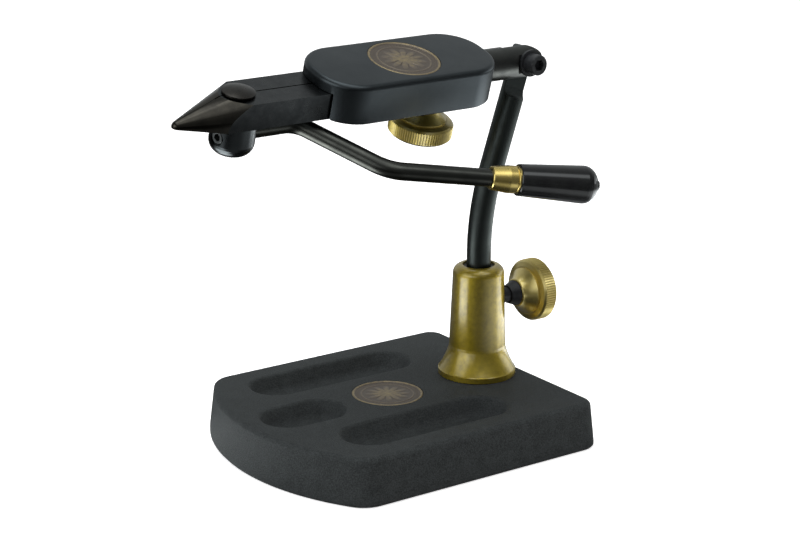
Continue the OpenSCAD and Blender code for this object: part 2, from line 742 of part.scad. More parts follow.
// One jaw: a bar ground to a blunt cone, with a cam slot, a hinge hole and a spring seat
module jaw(side) {
    reach = nose_reach + cam_reach + pin_back + jaw_tail;
    full_r = 2 * jaw_width;
    cone_length = full_r / tan(nose_angle) + tip_r * (1 - 1 / sin(nose_angle));
    inner = side > 0 ? jaw_gap / 2 : -jaw_width;
    slot_long = cam_long / 2 + bevel;
    slot_short = cam_short / 2 + cam_gap;
    color([0.14, 0.14, 0.145]) in_head() difference() {
        intersection() {
            translate([tip_x, inner, jaw_bottom]) cube([reach, jaw_width - jaw_gap / 2, jaw_height]);
            translate([tip_x, 0, -nose_drop]) along_x() rotate_extrude() polygon(concat(
                arc([0, tip_r], tip_r, -90, -nose_angle, 2 * edge_rows),
                [[full_r, cone_length], [full_r, reach + over], [0, reach + over]]
            ));
        }
        translate([cam_x - slot_long, -slot_short, jaw_bottom - over])
            cube([2 * slot_long, 2 * slot_short, jaw_height + 2 * over]);
        translate([pin_x + pin_r, -tail_gap, jaw_bottom - over])
            cube([jaw_tail, 2 * tail_gap, jaw_height + 2 * over]);
        translate([pin_x, side * pin_offset, jaw_bottom - over])
            cylinder(r = pin_r + run_fit, h = jaw_height + 2 * over);
        translate([pin_x + spring_back, spring_side, jaw_bottom + jaw_height / 2]) towards_lever_side()
            cylinder(r = spring_r + slide_gap, h = 2 * spring_side);
    }
}

// Half the distance between the two floors that the spring stands on
spring_side = tail_gap + spring_seat;

module jaw_left() {
    jaw(1);
}

module jaw_right() {
    jaw(-1);
}

// Jaw spring: one wire in even curls between the two tails
spring_sides = 6;
rings_per_curl = 8;
spring_line_r = spring_r - spring_wire / 2;
spring_line_half = spring_side - spring_wire / 2 - slide_gap / 2;

function spring_point(turn) = [
    spring_line_r * cos(360 * turn), spring_line_r * sin(360 * turn),
    spring_line_half * (2 * turn / spring_curls - 1)
];

// Section of the wire, square to its own path
function spring_ring(turn) = let (
    rise = 2 * spring_line_half / spring_curls,
    out = [cos(360 * turn), sin(360 * turn), 0],
    slope = atan2(rise, 2 * PI * spring_line_r),
    up = [-sin(360 * turn) * sin(slope), cos(360 * turn) * sin(slope), -cos(slope)]
) [for (k = [0 : spring_sides - 1]) let (a = 360 * k / spring_sides)
    spring_point(turn) + spring_wire / 2 * (cos(a) * out + sin(a) * up)];

spring_turns = [for (i = [0 : spring_curls * rings_per_curl]) i / rings_per_curl];
spring_self_gap = min([for (i = [0 : len(spring_turns) - 1], j = [i + rings_per_curl / 2 : len(spring_turns) - 1])
    norm(spring_point(spring_turns[j]) - spring_point(spring_turns[i])) - spring_wire]);
echo(spring_self_gap = spring_self_gap);

module jaw_spring() {
    color([0.62, 0.63, 0.65]) in_head()
        translate([pin_x + spring_back, 0, jaw_bottom + jaw_height / 2]) towards_lever_side()
            loft([for (turn = spring_turns) spring_ring(turn)]);
}

// Cam shaft: domed head on the jaws, rounded cam between them, round shank in the hub
module cam_shaft() {
    dome_bottom = jaw_over + slide_gap;
    long_half = cam_long / 2 - cam_corner;
    short_half = cam_short / 2 - cam_corner;
    cam_height = dome_bottom - hub_top;
    dome_ball_r = (pow(dome_r, 2) + pow(dome_height, 2)) / (2 * dome_height);
    dome_angle = asin(dome_r / dome_ball_r);
    color([0.13, 0.13, 0.13]) in_head() translate([cam_x, 0, 0]) {
        translate([0, 0, dome_bottom]) rotate_extrude() polygon(concat(
            [[0, 0], [dome_r - bevel / 2, 0], [dome_r, bevel / 2]],
            arc([0, dome_edge_height + dome_height - dome_ball_r], dome_ball_r, 90 - dome_angle, 90, 2 * edge_rows)
        ));
        translate([0, 0, hub_top]) {
            translate([-long_half, -cam_short / 2, 0]) cube([2 * long_half, cam_short, cam_height]);
            translate([-cam_long / 2, -short_half, 0]) cube([cam_long, 2 * short_half, cam_height]);
            for (x = [-1, 1], y = [-1, 1])
                translate([x * long_half, y * short_half, 0]) cylinder(r = cam_corner, h = cam_height);
        }
        translate([0, 0, shank_bottom]) cylinder(r = shank_r, h = hub_top - shank_bottom + bevel);
    }
}

module cam_hub() {
    color([0.12, 0.125, 0.13]) in_head() translate([cam_x, 0, 0]) difference() {
        translate([0, 0, hub_bottom]) rotate_extrude() polygon(concat(
            [[0, 0]],
            arc([hub_r - hub_round, hub_round], hub_round, -90, 0, 2 * edge_rows),
            [[hub_r, hub_height - bevel / 2], [hub_r - bevel / 2, hub_height], [0, hub_height]]
        ));
        translate([0, 0, shank_bottom]) cylinder(r = shank_r, h = hub_height);
        translate([rod_start, 0, -rod_drop]) along_x() cylinder(r = rod_r, h = hub_r);
        translate([0, 0, -rod_drop]) rotate([0, 0, hub_screw_turn]) rotate([0, -90, 0])
            cylinder(r = hub_screw_r, h = 2 * hub_r);
    }
}

// Hub axis to the lever rod's inner end
rod_start = shank_r + bevel;

module hub_screw() {
    length = hub_r - shank_r - bevel;
    color([0.09, 0.09, 0.10]) in_head() translate([cam_x, 0, -rod_drop])
        rotate([0, 0, hub_screw_turn]) rotate([0, -90, 0]) difference() {
            translate([0, 0, shank_r + run_fit]) cylinder(r = hub_screw_r, h = length);
            translate([0, 0, shank_r + length / 2]) cylinder(r = hub_screw_r * set_socket_share, h = hub_r, $fn = 6);
        }
}

// Where the bends use up the straight runs on either side of their corners
first_cut = first_bend_r * tan(first_bend / 2);
second_cut = second_bend_r * tan(second_bend / 2);
handle_heading = second_bend - first_bend;
first_start = [rod_first - first_cut, 0];
second_corner = [rod_first + rod_second * cos(first_bend), -rod_second * sin(first_bend)];
second_start = second_corner - second_cut * [cos(first_bend), -sin(first_bend)];
ferrule_start = second_corner + rod_third * [cos(handle_heading), sin(handle_heading)];
rod_in_handle = ferrule_length + grip_length * rod_in_grip_share;

// Places its children on the lever's axis, at the hub, in the lever's own tilted plane
module in_lever() {
    in_head() translate([cam_x, 0, -rod_drop]) rotate([lever_tilt, 0, 0]) children();
}

// Places its children at the ferrule's front end, Z along the lever's handle
module at_ferrule() {
    in_lever() translate(ferrule_start) rotate([0, 0, handle_heading]) along_x() children();
}

module lever_rod() {
    bare = bevel / 2;
    color([0.13, 0.135, 0.13]) {
        in_lever() {
            translate([rod_start, 0, 0]) along_x() cylinder(r = rod_r, h = hub_r + bevel - rod_start);
            loft(rod_rings(concat(
                [[[hub_r + bare, 0], 0]],
                bend_stations(first_start, 0, first_bend_r, -first_bend),
                bend_stations(second_start, -first_bend, second_bend_r, second_bend),
                [[ferrule_start - bare * [cos(handle_heading), sin(handle_heading)], handle_heading]]
            ), rod_r + bend_swell));
        }
        at_ferrule() translate([0, 0, -bevel]) cylinder(r = rod_r, h = rod_in_handle + bevel);
    }
}

module lever_ferrule() {
    groove = bevel / 2;
    color([0.74, 0.61, 0.36]) at_ferrule() difference() {
        rotate_extrude() polygon([
            [0, 0], [ferrule_small_r - groove, 0], [ferrule_small_r, groove],
            [ferrule_big_r, ferrule_length * ferrule_taper_share], [ferrule_big_r, ferrule_length - 4 * groove],
            [ferrule_big_r - groove, ferrule_length - 3 * groove],
            [ferrule_big_r, ferrule_length - 2 * groove], [ferrule_big_r, ferrule_length], [0, ferrule_length]
        ]);
        translate([0, 0, -over]) cylinder(r = rod_r, h = ferrule_length + 2 * over);
    }
}

// Grip: a slow taper to a domed end with a small moulded nub
module lever_grip() {
    dome = grip_big_r * grip_dome_share;
    nub_r = grip_big_r * grip_nub_share;
    nub_height = bevel;
    color([0.03, 0.03, 0.035]) at_ferrule() translate([0, 0, ferrule_length]) difference() {
        rotate_extrude() polygon(concat(
            [[0, 0], [grip_small_r - bevel / 2, 0], [grip_small_r, bevel / 2]],
            [for (i = [0 : 2 * edge_rows]) let (a = 90 * i / (2 * edge_rows + 1))
                [grip_big_r * cos(a), grip_length - dome - nub_height + dome * sin(a)]],
            [[nub_r, grip_length - nub_height], [nub_r - nub_height / 2, grip_length], [0, grip_length]]
        ));
        translate([0, 0, -over]) cylinder(r = rod_r, h = rod_in_handle - ferrule_length + over);
    }
}

base_casting();
base_pad();
base_medallion();
pillar();
pillar_bolt();
stem_sleeve();
stem();
clamp_screw();
clamp_knob();
head_shaft();
tilt_screw();
tilt_washer();
head_body();
head_medallion();
lock_screw();
lock_knob();
jaw_left();
jaw_right();
jaw_pins();
jaw_spring();
cam_shaft();
cam_hub();
hub_screw();
lever_rod();
lever_ferrule();
lever_grip();
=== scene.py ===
import math

import bmesh
import bpy
from mathutils import Matrix, Vector


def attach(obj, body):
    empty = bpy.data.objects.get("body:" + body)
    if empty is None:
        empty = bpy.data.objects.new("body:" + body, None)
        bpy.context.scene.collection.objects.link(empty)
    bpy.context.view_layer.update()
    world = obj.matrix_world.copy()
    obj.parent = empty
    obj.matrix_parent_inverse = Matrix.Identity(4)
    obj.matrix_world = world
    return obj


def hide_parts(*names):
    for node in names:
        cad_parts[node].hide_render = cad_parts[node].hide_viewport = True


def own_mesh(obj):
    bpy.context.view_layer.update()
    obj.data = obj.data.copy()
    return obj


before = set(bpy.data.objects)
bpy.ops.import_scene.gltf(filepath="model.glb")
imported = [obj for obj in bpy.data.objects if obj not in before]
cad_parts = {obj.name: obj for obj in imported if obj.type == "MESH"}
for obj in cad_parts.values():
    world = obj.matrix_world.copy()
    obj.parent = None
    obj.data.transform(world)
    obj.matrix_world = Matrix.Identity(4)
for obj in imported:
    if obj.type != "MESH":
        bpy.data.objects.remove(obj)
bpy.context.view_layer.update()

# Camera: a short telephoto lens, 0.83 m from the vise, which looks down on it by 17 degrees.
# It looks at the jaws' near side, and it is level to half a degree.
azimuth, elevation, roll = math.radians(-35.699), math.radians(16.967), math.radians(0.501)
aim = Vector((-0.037951, 0, 0.06869))
distance = 0.832542
backward = Vector((
    math.sin(azimuth) * math.cos(elevation), -math.cos(azimuth) * math.cos(elevation), math.sin(elevation)))
level = Vector((math.cos(azimuth), math.sin(azimuth), 0))
upward = backward.cross(level)
camera = bpy.data.objects.new("camera", bpy.data.cameras.new("camera"))
camera.data.sensor_width = 36
camera.data.lens = 98.19
camera.data.clip_start = 0.01
camera.matrix_world = Matrix.Translation(aim + backward * distance) @ Matrix((
    level * math.cos(roll) + upward * math.sin(roll),
    upward * math.cos(roll) - level * math.sin(roll),
    backward)).transposed().to_4x4()
bpy.context.collection.objects.link(camera)
bpy.context.scene.camera = camera
bpy.context.scene.view_settings.view_transform = "Standard"


# Studio: a white table with the vise in its middle, a large soft lamp on each side and one above.
# The room behind the photographer is dim, and the bright table ends a little way out from the vise.
# Polished metal and gloss show all of that, so mirrored rays meet a drawing of the same room.
def nodes_of(owner):
    """Empties the owner's node tree, and gives back a function that adds one node to it.

    The links go to the node's inputs by number or name. A value named _2 is set on input 2.
    """
    owner.use_nodes = True
    owner.node_tree.nodes.clear()
    tree = owner.node_tree

    def add(kind, links=(), **values):
        node = tree.nodes.new(kind)
        for key, value in values.items():
            if key.startswith("_"):
                node.inputs[int(key[1:])].default_value = value
            else:
                setattr(node, key, value)
        for socket, source in dict(links).items():
            tree.links.new(source, node.inputs[socket])
        return node
    return add


def ramp(add, source, *points):
    """A smooth step for two (input, output) points, or the product of steps for more."""
    result = None
    for (start, low), (end, high) in zip(points[::2], points[1::2]):
        step = add("ShaderNodeMapRange", {0: source}, interpolation_type="SMOOTHSTEP")
        step.inputs["From Min"].default_value = start
        step.inputs["From Max"].default_value = end
        step.inputs["To Min"].default_value = low
        step.inputs["To Max"].default_value = high
        result = step.outputs[0] if result is None else add(
            "ShaderNodeMath", {0: result, 1: step.outputs[0]}, operation="MULTIPLY").outputs[0]
    return result


def room(add, way, level, lights):
    """How bright the studio is, looking one way from the vise: a low level, and soft boxes.

    Each soft box is the way to it, two cosines between which its light rises, and its strength.
    """
    total = add("ShaderNodeMath", operation="ADD", _0=level, _1=0.0).outputs[0]
    for towards, edge, full, strength in lights:
        facing = add("ShaderNodeVectorMath", {0: way}, operation="DOT_PRODUCT")
        facing.inputs[1].default_value = towards
        light = ramp(add, facing.outputs["Value"], (edge, 0), (full, strength))
        total = add("ShaderNodeMath", {0: total, 1: light}, operation="ADD").outputs[0]
    return total


world = bpy.data.worlds.new("studio")
bpy.context.scene.world = world
add = nodes_of(world)
rays = add("ShaderNodeLightPath")
direction = add("ShaderNodeTexCoord")
mirrored = add("ShaderNodeMath", {
    0: rays.outputs["Is Glossy Ray"],
    1: rays.outputs["Is Transmission Ray"]}, operation="MAXIMUM")
room_fill, mirrored_room, white = 0.42, 0.11, 1.0
daylight = (0.94, 0.99, 1.0, 1)
soft_boxes = (
    ((-0.96, 0.02, 0.27), 0.88, 0.97, 1.2),
    ((0.94, -0.19, -0.28), 0.80, 0.96, 1.5),
    ((0.58, 0.81, 0), -0.1, 0.8, 0.36),
    ((-0.1, 0.1, 0.99), 0.90, 0.985, 1.4),
    ((-0.1, -0.42, 0.90), 0.86, 0.96, 0.8),
    ((-0.1, -0.42, 0.90), 0.6, 0.95, 0.12),
    ((0.2, -0.53, 0.825), 0.975, 0.99, 0.8),
    ((-0.88, -0.44, 0.18), 0.93, 0.985, 0.6))
around = room(add, direction.outputs["Generated"], mirrored_room, soft_boxes)
fill = add("ShaderNodeMix", {0: mirrored.outputs[0], 3: around}, data_type="FLOAT", _2=room_fill)
seen = add(
    "ShaderNodeMix", {0: rays.outputs["Is Camera Ray"], 2: fill.outputs[0]}, data_type="FLOAT", _3=white)
tint = add("ShaderNodeMix", {0: mirrored.outputs[0]}, data_type="RGBA", _6=(1, 1, 1, 1), _7=daylight)
sky = add("ShaderNodeBackground", {"Strength": seen.outputs[0], "Color": tint.outputs[2]})
add("ShaderNodeOutputWorld", {"Surface": sky.outputs[0]})


def lamp(name, place, size, watts, colour=(1, 1, 1)):
    """A soft box that points at the vise. Its mirror image is in the drawing of the room instead."""
    light = bpy.data.lights.new(name, "AREA")
    light.shape = "RECTANGLE"
    light.size, light.size_y = size
    light.energy = watts
    light.color = colour
    obj = bpy.data.objects.new(name, light)
    obj.location = place
    obj.rotation_euler = (aim - Vector(place)).to_track_quat("-Z", "Y").to_euler()
    obj.visible_glossy = False
    bpy.context.collection.objects.link(obj)


lamp("left_softbox", (-0.95, 0.05, 0.42), (0.7, 0.9), 4.9, (0.96, 0.98, 1.0))
lamp("right_softbox", (0.75, -0.55, 0.45), (0.5, 0.8), 4.0, (1.0, 0.99, 0.97))
lamp("top_softbox", (-0.15, 0.05, 0.95), (0.6, 0.4), 6.8)

floor_half = 3
floor_mesh = bpy.data.meshes.new("sweep")
floor_corners = [(-floor_half, -floor_half, 0), (floor_half, -floor_half, 0),
                 (floor_half, floor_half, 0), (-floor_half, floor_half, 0)]
floor_mesh.from_pydata(floor_corners, [], [(0, 1, 2, 3)])
floor = bpy.data.objects.new("sweep", floor_mesh)
bpy.context.collection.objects.link(floor)
paper = bpy.data.materials.new("white_paper")
add = nodes_of(paper)
rays = add("ShaderNodeLightPath")
glow_strength = add("ShaderNodeMath", {0: rays.outputs["Is Camera Ray"]}, operation="MULTIPLY", _1=0.65)
glow = add("ShaderNodeEmission", {"Strength": glow_strength.outputs[0]})
matt = add("ShaderNodeBsdfDiffuse", _0=(0.86, 0.86, 0.86, 1))
lit = add("ShaderNodeAddShader", {0: matt.outputs[0], 1: glow.outputs[0]})
spot = add("ShaderNodeTexCoord")
outward = add("ShaderNodeVectorMath", {0: spot.outputs["Object"]}, operation="NORMALIZE")
distance_out = add("ShaderNodeVectorMath", {0: spot.outputs["Object"]}, operation="LENGTH")
reach = distance_out.outputs["Value"]
table_lights = (
    ((-0.975, 0.22, 0), 0.91, 0.985, 4.8),
    ((0.98, -0.2, 0), 0.80, 0.96, 2.1),
    ((0.9, -0.43, 0), 0.5, 0.95, 0.3))
table = room(add, outward.outputs[0], 0.0, table_lights)
table_end = ramp(add, reach, (0.09, 0.1), (0.16, 1), (0.17, 1), (0.36, 0.08))
far_light = add("ShaderNodeMath", {0: table, 1: table_end}, operation="MULTIPLY")
lit_table = ramp(add, reach, (0.09, 0.15), (0.16, 1), (0.22, 0.55), (0.31, 0.08))
right_hand = add("ShaderNodeVectorMath", {0: outward.outputs[0]}, operation="DOT_PRODUCT")
right_hand.inputs[1].default_value = (0.9, -0.43, 0)
brighter_right = ramp(add, right_hand.outputs["Value"], (-0.15, 0.3), (0.9, 1.8))
swept = add("ShaderNodeMath", {0: lit_table, 1: brighter_right}, operation="MULTIPLY")
floor_level = add("ShaderNodeMath", {0: far_light.outputs[0], 1: swept.outputs[0]}, operation="ADD")
sheen = add("ShaderNodeEmission", {"Strength": floor_level.outputs[0]}, _0=daylight)
shown = add("ShaderNodeMixShader", {0: rays.outputs["Is Glossy Ray"], 1: lit.outputs[0], 2: sheen.outputs[0]})
add("ShaderNodeOutputMaterial", {0: shown.outputs[0]})
floor_mesh.materials.append(paper)


# Base: one heavy casting with a curved front and three scooped pockets for hooks and beads.
# It is blasted and powder coated in charcoal, so it has a fine even grain all over.
mm = 0.001


def coated(name, dark, light, grain, depth, roughness, specular=0.5):
    """Paint, anodising or plastic: a colour that wanders a little, and a grain that stands up."""
    material = bpy.data.materials.new(name)
    add = nodes_of(material)
    place = add("ShaderNodeTexCoord").outputs["Object"]
    drift = add("ShaderNodeTexNoise", {"Vector": place})
    drift.inputs["Scale"].default_value = grain / 10
    drift.inputs["Detail"].default_value = 5
    speck = add("ShaderNodeTexNoise", {"Vector": place})
    speck.inputs["Scale"].default_value = grain
    speck.inputs["Detail"].default_value = 3
    both = add(
        "ShaderNodeMath", {0: drift.outputs[0], 2: speck.outputs[0]}, operation="MULTIPLY_ADD", _1=0.35)
    tone = add("ShaderNodeMapRange", {0: both.outputs[0]})
    tone.inputs["From Min"].default_value = 0.52
    tone.inputs["From Max"].default_value = 0.83
    colour = add("ShaderNodeMix", {0: tone.outputs[0]}, data_type="RGBA", _6=(*dark, 1), _7=(*light, 1))
    sheen = add("ShaderNodeMapRange", {0: drift.outputs[0]})
    sheen.inputs["To Min"].default_value = roughness * 0.85
    sheen.inputs["To Max"].default_value = min(1, roughness * 1.15)
    bump = add("ShaderNodeBump", {"Height": speck.outputs[0]})
    bump.inputs["Strength"].default_value = 0.6
    bump.inputs["Distance"].default_value = depth
    shader = add("ShaderNodeBsdfPrincipled", {
        "Base Color": colour.outputs[2], "Roughness": sheen.outputs[0], "Normal": bump.outputs[0]})
    shader.inputs["Specular IOR Level"].default_value = specular
    add("ShaderNodeOutputMaterial", {0: shader.outputs[0]})
    return material


def arc(cx, cy, r, start, end, steps):
    """Points along part of a circle, between two angles in degrees."""
    turns = [math.radians(start + (end - start) * i / steps) for i in range(steps + 1)]
    return [(cx + r * math.cos(t), cy + r * math.sin(t)) for t in turns]


def skinned(name, rings):
    """A closed solid through rings of points, each ring with the same number of points."""
    n = len(rings[0])
    points = [p for ring in rings for p in ring]
    faces = [tuple(range(n))[::-1], tuple(range(len(points) - n, len(points)))]
    faces += [(k * n + i, k * n + (i + 1) % n, (k + 1) * n + (i + 1) % n, (k + 1) * n + i)
              for k in range(len(rings) - 1) for i in range(n)]
    mesh = bpy.data.meshes.new(name)
    mesh.from_pydata(points, [], faces)
    mesh.validate()
    obj = bpy.data.objects.new(name, mesh)
    bpy.context.collection.objects.link(obj)
    return obj


def carved(obj, cutters, operation="DIFFERENCE"):
    """Cuts obj by each cutter, or keeps what it shares with it, and takes the cutters away."""
    for cutter in cutters:
        cut = obj.modifiers.new("cut", "BOOLEAN")
        cut.object = cutter
        cut.operation = operation
        cut.solver = "EXACT"
        cut.material_mode = "TRANSFER"
    mesh = bpy.data.meshes.new_from_object(obj.evaluated_get(bpy.context.evaluated_depsgraph_get()))
    obj.modifiers.clear()
    old, obj.data = obj.data, mesh
    bpy.data.meshes.remove(old)
    mesh.name = obj.name
    for cutter in cutters:
        bpy.data.objects.remove(cutter)


def finished(obj, material, body, node, crease=32, edge=0.0):
    """Shades a piece smoothly up to its real edges, paints it and hangs it on its body."""
    if material:
        obj.data.materials.clear()
        obj.data.materials.append(material)
    obj.data.shade_smooth()
    obj.data.set_sharp_from_angle(angle=math.radians(crease))
    if edge:
        soft = obj.modifiers.new("edge", "BEVEL")
        soft.width = edge
        soft.segments = 2
        soft.limit_method = "ANGLE"
        soft.angle_limit = math.radians(crease)
        soft.harden_normals = True
    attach(obj, body)
    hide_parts(node)


# Every cut runs past the surface by over.
over = 1 * mm
base_back, base_front, half_width = 19.7 * mm, 108.9 * mm, 54.6 * mm
base_rim, pad_top, base_top, pad_inset = 0.3 * mm, 1.5 * mm, 18.7 * mm, 2.9 * mm
front_radius, front_corner, back_corner = 89 * mm, 12 * mm, 8 * mm
lean, top_round, foot_chamfer = 2 * mm, 2 * mm, 0.8 * mm
front_centre = front_radius - base_front
corner_y = half_width - front_corner
corner_x = front_centre - math.sqrt((front_radius - front_corner) ** 2 - corner_y ** 2)
spread = math.degrees(math.atan2(corner_y, front_centre - corner_x))


def base_ring(inset, z):
    """The outline of the casting at one height, in from its foot by inset."""
    back_x, back_y = base_back - back_corner, half_width - back_corner
    outline = arc(front_centre, 0, front_radius - inset, 180 - spread, 180 + spread, 60)
    outline += arc(corner_x, -corner_y, front_corner - inset, 180 + spread, 270, 16)[1:]
    outline += arc(back_x, -back_y, back_corner - inset, 270, 360, 16)
    outline += arc(back_x, back_y, back_corner - inset, 0, 90, 16)
    outline += arc(corner_x, corner_y, front_corner - inset, 90, 180 - spread, 16)[:-1]
    return [(x, y, z) for x, y in outline]


def draft_at(z):
    """How far the sides lean in at one height. The foot stands upright."""
    return lean * (max(z, pad_top + foot_chamfer) - pad_top) / (base_top - pad_top)


side_heights = (base_rim + foot_chamfer, pad_top + foot_chamfer, 6 * mm, 12 * mm)
rings = [base_ring(foot_chamfer, base_rim)]
rings += [base_ring(draft_at(z), z) for z in side_heights]
for i in range(9):
    turn = math.radians(90 * i / 8)
    z = base_top - top_round * (1 - math.sin(turn))
    rings.append(base_ring(draft_at(z) + top_round * (1 - math.cos(turn)), z))
base = skinned("charcoal_base", rings)

pocket_width, pocket_depth, pocket_lip, pocket_floor = 20.6 * mm, 7 * mm, 1.8 * mm, 5 * mm
pocket_wall = math.radians(62)


def pocket(length, x, y):
    """A scoop with a rounded rim, leaning walls and a dished edge to its floor."""
    half = (length - pocket_width) / 2

    def ring(outset, z):
        r = pocket_width / 2 + outset
        ends = arc(half, 0, r, -90, 90, 28) + arc(-half, 0, r, 90, 270, 28)
        return [(x + a, y + b, z) for a, b in ends]
    turns = [pocket_wall * i / 8 for i in range(9)]
    rows = [ring(pocket_lip * (1 - math.sin(t)), base_top - pocket_lip * (1 - math.cos(t))) for t in turns]
    rounds = pocket_lip + pocket_floor
    straight = pocket_depth - rounds * (1 - math.cos(pocket_wall))
    foot = pocket_lip - rounds * math.sin(pocket_wall) - straight / math.tan(pocket_wall)
    bottom = base_top - pocket_depth
    rows += [ring(foot + pocket_floor * math.sin(t), bottom + pocket_floor * (1 - math.cos(t)))
             for t in turns[::-1]]
    return skinned("scoop", rows[::-1] + [ring(pocket_lip, base_top + over)])


def drum(x, y, z, r, height, steps=96):
    """A plain drill or counterbore cutter, standing on z."""
    circle = arc(0, 0, r, 0, 360, steps)[:-1]
    return skinned("drill", [[(x + a, y + b, h) for a, b in circle] for h in (z, z + height)])


side_pocket, side_x, side_y = 71.6 * mm, -48.2 * mm, 31.5 * mm
middle_pocket, middle_x = 33.9 * mm, -82.05 * mm
medal_x, medal_r, medal_seat, medal_gap = -43.39 * mm, 13.85 * mm, 1.4 * mm, 0.05 * mm
bolt_sink_r, bolt_sink_top, bolt_bore_r = 7.4 * mm, 8.5 * mm, 4.3 * mm
carved(base, [
    skinned("seat", [base_ring(pad_inset, -over), base_ring(pad_inset, pad_top)]),
    pocket(side_pocket, side_x, side_y),
    pocket(side_pocket, side_x, -side_y),
    pocket(middle_pocket, middle_x, 0),
    drum(medal_x, 0, base_top - medal_seat, medal_r + medal_gap, medal_seat + over),
    drum(0, 0, 0, bolt_sink_r, bolt_sink_top),
    drum(0, 0, 0, bolt_bore_r, base_top + over)])
charcoal = coated(
    "charcoal_powder_coat", (0.0172, 0.0191, 0.0193), (0.0345, 0.0384, 0.0390),
    2200, 0.00026, 0.66, specular=0.16)
finished(base, charcoal, "base", "base_casting")


# Pad: a thin sheet of black rubber glued into the casting's underside, a little proud of its rim.
# It covers the pillar's bolt and keeps the base from sliding.
def repaint(material, *names):
    """Gives pieces that keep their exact turned or drilled shape a finish of their own."""
    for name in names:
        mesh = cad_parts[name].data
        mesh.materials.clear()
        mesh.materials.append(material)


rubber = coated("pad_rubber", (0.012, 0.012, 0.012), (0.022, 0.022, 0.022), 900, 0.00008, 0.8)
repaint(rubber, "base_pad")


# Base medallion: a disc struck in brass, darkened, and rubbed bright on its rim.
# It is pressed into a round seat. Its border of short rays and its plain rosette are generic.
def struck_disc(name, place, body, node):
    """A badge standing on its seat at place, with its relief worked out ring by ring."""
    across, around, rays, petals = 64, 240, 60, 12
    rim, thick, field = 1.1 * mm, 1.5 * mm, 1.06 * mm
    ring_from, rays_from, rays_to = 0.70, 0.76, 0.92
    rim_round, ring_high, ray_high, petal_high = 0.35 * mm, 0.22 * mm, 0.13 * mm, 0.30 * mm
    petal_short, petal_long = 0.28, 0.36
    dark_below, rubbed_above = field + 0.02 * mm, field + 0.34 * mm
    points, faces = [(0, 0, field + petal_high)], []
    for i in range(1, across + 1):
        r = medal_r * i / across
        for k in range(around):
            angle = 2 * math.pi * k / around
            z = field
            if r > medal_r - rim:
                z = thick - rim_round * abs((r - (medal_r - rim / 2)) / (rim / 2)) ** 3
            elif r > medal_r * rays_from:
                swell = math.sin(math.pi * (r / medal_r - rays_from) / (rays_to - rays_from)) ** 2
                z += ray_high * max(0, math.cos(rays * angle)) * swell
            elif r > medal_r * ring_from:
                z += ring_high * math.sin(math.pi * (r / medal_r - ring_from) / (rays_from - ring_from))
            else:
                petal = abs(math.cos(petals / 2 * angle)) ** 0.7
                reach = medal_r * (petal_short + petal_long * petal)
                z += petal_high * max(0.0, 1 - (r / reach) ** 2) ** 0.5
            points.append((r * math.cos(angle), r * math.sin(angle), z))
    faces += [(0, 1 + k, 1 + (k + 1) % around) for k in range(around)]
    for i in range(across - 1):
        a, b = 1 + i * around, 1 + (i + 1) * around
        faces += [(a + k, b + k, b + (k + 1) % around, a + (k + 1) % around) for k in range(around)]
    outer = 1 + (across - 1) * around
    low = len(points)
    points += [(x, y, 0) for x, y in arc(0, 0, medal_r, 0, 360, around)[:-1]]
    faces += [(outer + k, low + k, low + (k + 1) % around, outer + (k + 1) % around) for k in range(around)]
    faces.append(tuple(range(low + around - 1, low - 1, -1)))
    mesh = bpy.data.meshes.new(name)
    mesh.from_pydata(points, [], faces)
    mesh.transform(place)
    disc = bpy.data.objects.new(name, mesh)
    bpy.context.collection.objects.link(disc)

    material = bpy.data.materials.new(name + "_brass")
    add = nodes_of(material)
    spot = add("ShaderNodeTexCoord").outputs["Object"]
    local = add("ShaderNodeMapping", {0: spot}, vector_type="TEXTURE")
    local.inputs["Location"].default_value = place.to_translation()
    local.inputs["Rotation"].default_value = place.to_euler()
    axes = add("ShaderNodeSeparateXYZ", {0: local.outputs[0]})
    high = add("ShaderNodeMapRange", {0: axes.outputs[2]})
    high.inputs["From Min"].default_value = dark_below
    high.inputs["From Max"].default_value = rubbed_above
    cloud = add("ShaderNodeTexNoise", {"Vector": spot})
    cloud.inputs["Scale"].default_value = 700
    cloud.inputs["Detail"].default_value = 6
    worn = add("ShaderNodeMath", {0: high.outputs[0], 1: cloud.outputs[0]}, operation="MULTIPLY")
    tone = add("ShaderNodeValToRGB", {0: worn.outputs[0]})
    tone.color_ramp.elements[0].color = (0.155, 0.130, 0.108, 1)
    tone.color_ramp.elements[1].position = 0.62
    tone.color_ramp.elements[1].color = (0.38, 0.30, 0.17, 1)
    middle = tone.color_ramp.elements.new(0.22)
    middle.color = (0.20, 0.168, 0.135, 1)
    bump = add("ShaderNodeBump", {"Height": cloud.outputs[0]})
    bump.inputs["Strength"].default_value = 0.5
    bump.inputs["Distance"].default_value = 0.00008
    shader = add("ShaderNodeBsdfPrincipled", {"Base Color": tone.outputs[0], "Normal": bump.outputs[0]})
    shader.inputs["Metallic"].default_value = 0.85
    shader.inputs["Roughness"].default_value = 0.48
    add("ShaderNodeOutputMaterial", {0: shader.outputs[0]})
    finished(disc, material, body, node, crease=50)


struck_disc("base_badge", Matrix.Translation((medal_x, 0, base_top - medal_seat)), "base", "base_medallion")


